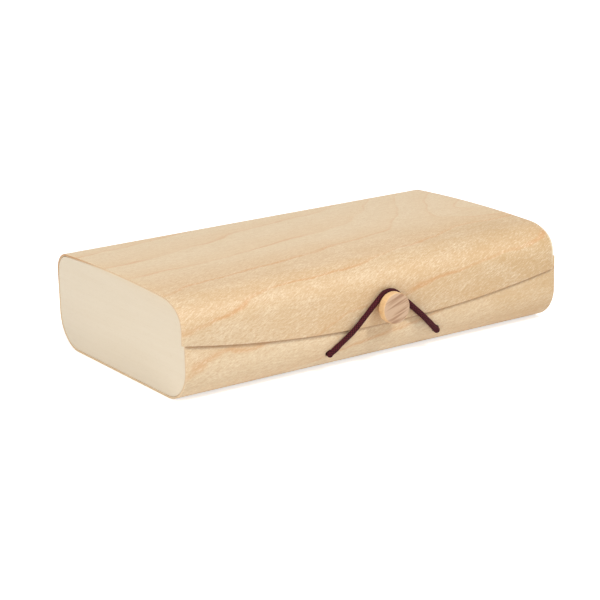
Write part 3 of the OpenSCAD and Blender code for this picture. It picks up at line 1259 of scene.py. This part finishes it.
def flap_shadow_line(look, x, v):
    """How much of the flap's painted shadow there is at a place on the front wall."""
    across = x - closure_x
    edge = flap_middle_z + across * across / (2 * flap_arc_radius)
    below_edge = edge - (front_wall_top - v)
    width = flap_shadow_width + flap_shadow_wider * look.ramp(x, -0.3 * half_length, -half_length)
    on_wall = 1.0 - look.ramp(v, front_wall_top - 2 * mm, front_wall_top + 6 * mm)
    return (look.ramp(below_edge, -0.6 * mm, 0.0)
            * (1.0 - look.ramp(below_edge / width, 0.3, 1.0)) * on_wall)


print("The painted flap shadow is", round(flap_shadow_width / mm, 1), "mm wide")

# %% [markdown]
# The veneer isn't alike all over: the front bend and the front wall are more golden than the top,
# partly as painted sheen, and deeper towards the right end, partly as painted shade. The flap is
# paler at its left, and the right end of the nose is nearly white. Paint masks would do, but they
# are pictures. Here each such place is a soft step along the blank or across it.

# %% Places on the blank
def on_nose(look, v):
    """One on the front bend and the flap, and zero on the top."""
    return look.ramp(v, nose_start_v - 42 * mm, nose_start_v - 2 * mm)


def on_front_wall(look, v):
    """One on the front wall, and zero from the floor on."""
    return look.ramp(v, 46 * mm, 34 * mm)


def on_left_flap(look, x, v):
    """One at the left end of the flap."""
    return look.ramp(x, -0.2 * half_length, -0.9 * half_length) * look.ramp(
        v, nose_start_v + 10 * mm, nose_start_v + 34 * mm)


def on_pale_nose_end(look, x, v):
    """One on the last few millimetres of the nose, at its right end."""
    return (look.ramp(x, half_length - 3.2 * mm, half_length - 2.2 * mm)
            * look.ramp(v, nose_start_v + 4 * mm, nose_start_v + 18 * mm)
            * (1.0 - look.ramp(v, nose_start_v + 20 * mm, nose_start_v + 30 * mm)))


print("The nose is golden from", round(nose_start_v / mm), "mm along the blank")

# %% [markdown]
# Between the rings lies the fine grain: long streaks, specks, and short dark pores. On the front
# bend the cut runs through the rays of the wood, and they catch the light as small flecks askew to
# the grain; these glints are painted, as bright and dull flecks that are strongest on the front
# bend and the front wall. Each of these is noise, stretched to its own length and width in
# millimetres.

# %% Fine grain
fleck_turn = math.radians(26)


def fibres(look, x, v, length, width, seed, detail=2.0, rough=0.5):
    """Noise whose blobs have a length and a width in mm. Each seed gives another pattern."""
    return look.noise(x / (length * mm), v / (width * mm), seed, detail=detail, rough=rough)


def flecks(look, x, v):
    """Fibres that lie askew to the grain."""
    cos_turn, sin_turn = math.cos(fleck_turn), math.sin(fleck_turn)
    along = x * cos_turn - v * sin_turn
    across = x * sin_turn + v * cos_turn
    return fibres(look, along, across, length=2.2, width=0.5, seed=6.6, detail=5.0, rough=0.85)


print("Flecks lie", round(math.degrees(fleck_turn)), "degrees off the grain")

# %% [markdown]
# The colour is built up in layers. First comes the ground tone of each place, which the
# streaks vary. Then layer after layer is mixed over it: clouds, the dark side of each ring, ring
# lines, pores, specks, flecks, the flap's painted shadow and the pale right end of the nose. One
# loop mixes them in that order.

# %% Veneer
def ground_tone(look, x, v, streaks):
    """Tan on the top, golden on the front bend and deeper towards the front's right end, partly as
    painted sheen and painted shade.
    """
    tan = look.mix(look.ramp(streaks, 0.3, 0.7), linear(229, 204, 167), linear(239, 218, 184))
    # The golden tone is partly painted sheen, and the deep tone towards the right end is partly
    # painted shade.
    golden = look.mix(streaks, linear(219, 185, 140), linear(230, 200, 159))
    deep_shaded_tone = look.mix(streaks, linear(204, 168, 118), linear(216, 184, 138))
    to_right = look.ramp(x, 0.0, half_length)
    share = (on_nose(look, v) * (1.0 - 0.7 * on_left_flap(look, x, v))
             + on_front_wall(look, v) * to_right * 0.8)
    return look.mix(share, tan, look.mix(to_right, golden, deep_shaded_tone))


def veneer():
    """Tan veneer with soft orange ring lines, pores and flecks."""
    look = finish_named("veneer")
    x, v = look.uv("blank")
    ring = look.node("ShaderNodeMath", {"operation": "FRACT"}, {0: ring_field(look, x, v)})
    shade = look.ramp(ring, 0.2, 0.94) * (1.0 - look.ramp(ring, 0.95, 1.0))
    line = look.ramp(ring, 0.87, 0.94) * (1.0 - look.ramp(ring, 0.94, 0.98))
    uneven = look.ramp(fibres(look, x, v, length=36, width=12, seed=1.3), 0.36, 0.62)
    streaks = fibres(look, x, v, length=9, width=0.7, seed=5.1, detail=4.0, rough=0.6)
    speck = fibres(look, x, v, length=1.4, width=0.6, seed=9.4, detail=4.0, rough=0.85)
    patchy = look.ramp(fibres(look, x, v, length=16, width=8, seed=2.9), 0.3, 0.7)
    pores = look.ramp(fibres(look, x, v, length=1.8, width=0.3, seed=2.4), 0.56, 0.74)
    fleck = flecks(look, x, v)

    golden = on_nose(look, v)
    front = (golden + on_front_wall(look, v) * 0.8) * (0.7 + 0.5 * patchy)
    at_heart = look.ramp(x, 10 * mm, 50 * mm) * (1.0 - golden)
    strength = (0.04 + 0.46 * uneven + 0.25 * golden) * (1.0 - 0.5 * at_heart)
    layers = {
        "cloud": (patchy * (0.08 + 0.12 * front), linear(246, 228, 198)),
        "dark side of a ring": (shade * (0.3 - 0.12 * at_heart), linear(227, 187, 138)),
        "ring line": (line * strength, linear(218, 160, 104)),
        "pore": (pores * 0.2, linear(196, 152, 112)),
        "speck": (look.ramp(speck, 0.42, 0.6) * 0.4, linear(212, 172, 122)),
        # Bright and dull flecks: the rays' own figure with painted glints, strongest on the front
        # bend and front wall.
        "bright fleck": (look.ramp(fleck, 0.5, 0.64) * (0.1 + 0.5 * front), linear(254, 236, 206)),
        "dull fleck": ((1.0 - look.ramp(fleck, 0.36, 0.5)) * (0.08 + 0.34 * front),
                       linear(206, 160, 110)),
        # Painted shadow of the flap's edge, where it falls on the front wall.
        "painted flap shadow": (flap_shadow_line(look, x, v) * 0.5, linear(160, 104, 58)),
        # The last few millimetres of the nose at its right end are made nearly white.
        "pale nose end": (on_pale_nose_end(look, x, v) * 0.8, linear(250, 240, 212))}
    colour = ground_tone(look, x, v, streaks)
    for share, tone in layers.values():
        colour = look.mix(share, colour, tone)
    print("Veneer:", ", ".join(layers))
    relief = streaks * 0.4 - pores * 0.5 + fleck * 0.3
    return look.finish(colour, 0.48 + 0.12 * streaks, bump=relief, bump_height=0.04 * mm)


sheet_finish = veneer()
print("Veneer:", len(sheet_finish.node_tree.nodes), "nodes")

# %% [markdown]
# Where the veneer is cut, its edge shows end grain, which drinks more oil. A mask in the veneer
# could darken it, but end grain has another pattern, so it is a second material. The faces that get
# it are those whose middle lies inside the sheet's thickness. Towards the hinge the edge is painted
# browner: painted shade of the gap between the sheet and the end panel there.

# %% Cut edge of the veneer
def cut_edge():
    """Pale end grain of the sheet, with painted shade that browns it towards the hinge."""
    look = finish_named("veneer edge")
    x, y, z = look.place()
    grain = look.noise(x / (1.5 * mm), y / (1.5 * mm), z / (1.5 * mm), detail=3.0)
    pale = look.mix(grain, linear(214, 182, 142), linear(230, 203, 166))
    # Painted shade: the edge browns towards the hinge, where the gap between sheet and end panel
    # shows dark.
    hinge_gap_shade = look.ramp(y, 0.2 * wall_y, 0.7 * wall_y) * look.ramp(z, 0.7 * hinge_z, hinge_z)
    colour = look.mix(hinge_gap_shade * 0.7, pale, linear(190, 132, 82))
    return look.finish(colour, 0.7)


edge_finish = cut_edge()
rounded_share = 0.15


def paint_sheet(piece):
    """Veneer on the two faces of a piece of the sheet, and end grain on its cut edges."""
    piece.data.materials.clear()
    piece.data.materials.append(sheet_finish)
    piece.data.materials.append(edge_finish)
    count = 0
    for face in piece.data.polygons:
        depth = on_blank(face.center.y, face.center.z)[1] / sheet_thickness
        inside_sheet = rounded_share < depth < 1 - rounded_share
        face.material_index = int(inside_sheet)
        count += inside_sheet
    return count


for piece in (sheet_walls, hinge_lower, sheet_lid):
    print(piece.name, paint_sheet(piece), "faces of cut edge")

# %% [markdown]
# ## Solid wood
#
# The end panels are a paler wood, nearly cream, with faint streaks from front to back. A UV map
# could carry the grain, but on solid wood it runs through the board. So the noise is read at the
# place in space, and it meets at every edge by itself.

# %% Panel wood
def panel_wood():
    """Cream wood with faint streaks from front to back."""
    look = finish_named("panel wood")
    x, y, z = look.place()
    streaks = look.noise(x / (3 * mm), y / (40 * mm), z / (1.6 * mm), detail=3.0)
    broad = look.noise(x / (9 * mm), y / (60 * mm), z / (7 * mm))
    pores = look.ramp(look.noise(x / (0.5 * mm), y / (3 * mm), z / (0.35 * mm)), 0.58, 0.72)
    pale = look.mix(streaks * 0.6 + broad * 0.4, linear(225, 208, 181), linear(233, 219, 196))
    colour = look.mix(pores * 0.16, pale, linear(204, 178, 145))
    return look.finish(colour, 0.62, bump=streaks * 0.5 - pores * 0.4, bump_height=0.05 * mm)


panel_finish = panel_wood()
for panel in (left_panel, right_panel):
    panel.data.materials.append(panel_finish)
print("Panel wood:", len(panel_finish.node_tree.nodes), "nodes")

# %% [markdown]
# The button is an orange-brown wood. Its stripes are straight, because it was turned from a small
# straight-grained stick, and they show on the face at the angle at which the button was screwed on.
# A Wave texture would make every stripe as wide as the next, so they are noise, drawn out long. The
# side of the head, which shows the grain from its edge, is more golden than the face, and it is
# painted brighter too, as a painted highlight where that side faces up into the light.

# %% Button wood
stripe_tilt = math.radians(20.5)


def button_wood():
    """Orange-brown wood with straight stripes across the face, and a more golden side with a
    painted highlight.
    """
    look = finish_named("button wood")
    x, y, z = look.place()
    from_axis_x = x - closure_x
    from_axis_z = z - button_z
    along = from_axis_x * math.cos(stripe_tilt) + from_axis_z * math.sin(stripe_tilt)
    across = from_axis_z * math.cos(stripe_tilt) - from_axis_x * math.sin(stripe_tilt)
    stripe = look.noise(along / (16 * mm), across / (1.5 * mm), y / (14 * mm), detail=1.0)
    grain = look.noise(along / (2.5 * mm), across / (0.4 * mm), y / (2.5 * mm), detail=3.0)
    broad = look.noise(along / (9 * mm), across / (3 * mm), y / (9 * mm))
    on_face = look.ramp(y, float(button_low.y) + 0.45 * mm, float(button_low.y) + 0.1 * mm)
    dark = look.ramp(stripe, 0.46, 0.66)
    face = look.mix(dark, linear(211, 178, 146), linear(168, 127, 96))
    # The side is brighter than the face: side grain, with a painted highlight where it faces up
    # into the light.
    side = look.mix(dark, linear(243, 202, 146), linear(226, 178, 120))
    striped = look.mix(0.3 * broad, look.mix(on_face, side, face), linear(208, 164, 128))
    colour = look.mix(look.ramp(grain, 0.5, 0.75) * 0.3, striped, linear(176, 136, 104))
    return look.finish(colour, 0.45, bump=stripe + 0.5 * grain, bump_height=0.05 * mm)


button_finish = button_wood()
button.data.materials.append(button_finish)
print("Button wood:", len(button_finish.node_tree.nodes), "nodes")

# %% [markdown]
# ## Cord and steel
#
# Round elastic is a braid over rubber threads. Two sets of yarns wind round it in opposite ways, so
# its relief is a chequer of small lozenges, and paler lint clings to it. Yarns of real mesh would
# take tens of thousands of faces for a cord as thin as this, so the braid is relief in the
# material. The curve gave the mesh a UV map that runs along and round the cord, and it is drawn on
# that.

# %% Braided elastic
yarn_step = 0.9 * mm
yarns_round = 6.0


def braided_elastic(name, length):
    """Burgundy braid on a cord of some length, with painted shade in the grooves between the yarns.
    """
    look = finish_named(name)
    along, around = look.uv("UVMap")
    steps = along * (length / yarn_step)
    wraps = around * yarns_round
    first = look.node("ShaderNodeMath", {"operation": "PINGPONG"}, {0: steps + wraps, 1: 0.5})
    second = look.node("ShaderNodeMath", {"operation": "PINGPONG"}, {0: steps - wraps, 1: 0.5})
    yarn = 4.0 * first * second
    x, y, z = look.place()
    lint = look.noise(x / (1.1 * mm), y / (0.5 * mm), z / (0.5 * mm), detail=4.0, rough=0.7)
    # Painted shade: the grooves between the yarns are darker than their crests.
    dark = look.mix(look.ramp(yarn, 0.05, 0.55), linear(46, 12, 17), linear(98, 32, 42))
    colour = look.mix(look.ramp(lint, 0.58, 0.78) * 0.4, dark, linear(140, 62, 72))
    look.shader.inputs["Specular IOR Level"].default_value = 0.2
    return look.finish(colour, 0.85, bump=look.ramp(yarn, 0.0, 0.8), bump_height=0.12 * mm)


loop_braid = 77 * mm
knot_braid = 39 * mm
elastic_loop.data.materials.append(braided_elastic("elastic of the loop", loop_braid))
knot_finish = braided_elastic("elastic of the knots", knot_braid)
for side in sides:
    knots[side].data.materials.append(knot_finish)
print("The loop's braid has", round(loop_braid / yarn_step), "steps, a knot's",
      round(knot_braid / yarn_step))

# %% [markdown]
# The screw is plain steel. A flat grey would do for metal this small, but a real screw has fine
# marks from its making, which break up what it mirrors. They are noise in its colour, gloss and
# relief.

# %% Turned steel
def turned_steel():
    """Plain steel with fine turning marks."""
    look = finish_named("screw steel")
    x, y, z = look.place()
    marks = look.noise(x / (0.12 * mm), y / (0.5 * mm), z / (0.12 * mm), detail=2.0)
    look.shader.inputs["Metallic"].default_value = 1.0
    colour = look.mix(marks, linear(170, 170, 172), linear(205, 205, 208))
    return look.finish(colour, 0.3 + 0.15 * marks, bump=marks, bump_height=0.01 * mm)


steel_finish = turned_steel()
screw.data.materials.append(steel_finish)
print("Steel:", len(steel_finish.node_tree.nodes), "nodes")

# %% [markdown]
# # The picture
#
# The photo was taken from the front left, a little above the box and less than a metre away. A
# camera could be moved by eye until the view looks right. Its numbers were solved instead: where
# the box's corners and the button lie in the photo gives the place, the three angles and the focal
# length. The three axes of the camera then follow from the angles.

# %% Camera
focal_length = 116.507
sensor_width = 36
nearest_seen = 0.01
azimuth = math.radians(-33.8086)
elevation = math.radians(16.2110)
roll = math.radians(-1.3985)
eye = Vector((-0.48297, -0.71330, 0.26598))

backward = Vector((math.sin(azimuth) * math.cos(elevation),
                   -math.cos(azimuth) * math.cos(elevation), math.sin(elevation)))
level = Vector((math.cos(azimuth), math.sin(azimuth), 0))
upright = backward.cross(level)
right = math.cos(roll) * level + math.sin(roll) * upright
upward = -math.sin(roll) * level + math.cos(roll) * upright
lens = bpy.data.cameras.new("camera")
lens.lens = focal_length
lens.sensor_width = sensor_width
lens.clip_start = nearest_seen
camera = bpy.data.objects.new("camera", lens)
bpy.context.scene.collection.objects.link(camera)
camera.matrix_world = Matrix((
    (right.x, upward.x, backward.x, eye.x), (right.y, upward.y, backward.y, eye.y),
    (right.z, upward.z, backward.z, eye.z), (0, 0, 0, 1)))
bpy.context.scene.camera = camera
print("Camera:", round(eye.length, 2), "m away, looking down by", round(math.degrees(elevation), 1),
      "degrees, lens", round(focal_length), "mm")

# %% [markdown]
# ## Floor and light
#
# The photo was taken on white, with soft light from above and both sides. Enough light to make the
# floor white would wash out the wood. So the floor and the room have one brightness for what looks
# at them, which is the camera, also by way of a shiny or clear surface, and another for the light
# that they give to the box. A Light Path node tells the two apart.

# %% What is looked at
def looked_at(look):
    """One for a camera ray, also by way of a shiny or clear surface, and zero for light."""
    rays = [look.node("ShaderNodeLightPath", output=f"Is {kind} Ray")
            for kind in ("Camera", "Glossy", "Transmission")]
    return rays[0] + rays[1] + rays[2]


print("Seen by the camera, by shiny surfaces and by clear ones")

# %% [markdown]
# The floor is a plain sheet of white paper. It could be left out and the background made white, but
# then the box would float. The camera sees it glow to pure white, except where the box shades it,
# so the contact shadow stays. To the box it gives back only what a sheet of paper does.

# %% Floor
floor_size = 6
paper_grey = (0.86, 0.86, 0.86, 1)
glow_as_light = (0.03, 0.03, 0.03, 1)
glow_as_seen = (0.64, 0.64, 0.64, 1)

deselect_all()
bpy.ops.mesh.primitive_plane_add(size=floor_size, location=(0, 0, 0))
floor = bpy.context.active_object
floor.name = "floor"
paper = finish_named("white paper")
paper.shader.inputs["Base Color"].default_value = paper_grey
paper.shader.inputs["Roughness"].default_value = 0.9
paper.shader.inputs["Specular IOR Level"].default_value = 0.1
paper.shader.inputs["Emission Strength"].default_value = 1.0
glow = paper.mix(looked_at(paper), glow_as_light, glow_as_seen)
put(paper.tree, paper.shader.inputs["Emission Color"], glow)
floor.data.materials.append(paper.owner)
print("Floor:", floor_size, "m wide")

# %% [markdown]
# The room lights the box evenly from all sides, as white walls do. A picture of a studio could
# light it too, but this file uses none. What looks at the room sees pure white, and the box gets
# less than half of that.

# %% Room
room_light = 0.44
room_white = 1.0
plain_white = (1, 1, 1, 1)

room = Finish(bpy.data.worlds.new("room"))
bpy.context.scene.world = room.owner
studio = room.node("ShaderNodeBackground", None, {"Color": plain_white, "Strength": room_light})
white = room.node("ShaderNodeBackground", None, {"Color": plain_white, "Strength": room_white})
seen = room.node("ShaderNodeMixShader", None, {0: looked_at(room), 1: studio, 2: white})
put(room.tree, room.tree.nodes["World Output"].inputs["Surface"], seen)
print("Room: light", room_light, "and seen as", room_white)

# %% [markdown]
# Two square lamps give the box its form: a weak one from the left, which lights the end panel, and
# a stronger one from above the front right, which draws the soft shine along the nose and throws
# the button's shadow. A sun lamp would make that shadow's edge hard, but a studio lamp has a size,
# and so its shadow is soft.

# %% Light
def soft_light(name, place, size, power):
    """A square lamp that looks at the box."""
    lamp = bpy.data.lights.new(name, "AREA")
    lamp.energy = power
    lamp.size = size
    holder = bpy.data.objects.new(name, lamp)
    bpy.context.scene.collection.objects.link(holder)
    holder.location = place
    holder.rotation_euler = (Vector(place) - middle_of_box).to_track_quat("Z", "Y").to_euler()
    print(name, "is", round(Vector(place).length, 2), "m away and gives", power, "W")


soft_light("left lamp", (-1.6, -0.3, 0.55), 0.5, 10)
soft_light("upper lamp", (0.5, -1.35, 1.85), 0.4, 27.5)
bpy.context.scene.view_settings.view_transform = "Standard"
